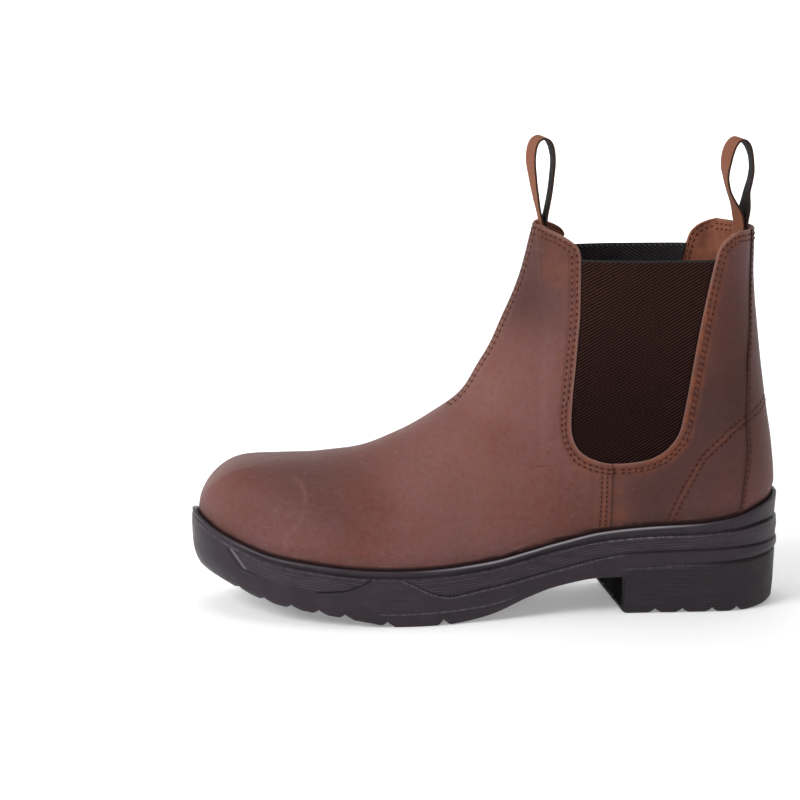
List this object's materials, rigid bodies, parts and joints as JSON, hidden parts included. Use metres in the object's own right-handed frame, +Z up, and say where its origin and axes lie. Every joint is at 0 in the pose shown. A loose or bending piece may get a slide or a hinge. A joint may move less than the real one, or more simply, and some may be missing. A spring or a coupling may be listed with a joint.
{
  "type": "jodhpur boot",
  "caption": "Ankle-high slip-on leather boot with elastic side gussets, webbing pull loops and a moulded rubber sole with a low heel.",
  "frame": {"origin": "middle of the sole's bounding box on the floor, in metres", "axes": "+X to the toe, +Y to the outer side of the left foot, +Z up"},
  "size_m": [0.288, 0.1024, 0.2275],
  "materials": {
    "upper_leather": "waxed brown leather, softly worn",
    "sole_rubber": "moulded black rubber, satin",
    "gusset_elastic": "dark brown woven elastic with a diagonal rib",
    "loop_webbing": "brown twill tape, near black on its inner face",
    "sock_lining": "plain tan lining leather"
  },
  "bodies": {
    "root": {"sole_unit": "sole_rubber", "insole": "sock_lining", "upper": "upper_leather", "gusset_lateral": "gusset_elastic", "gusset_medial": "gusset_elastic", "pull_loop_front": "loop_webbing", "pull_loop_back": "loop_webbing"}
  },
  "joints": []
}
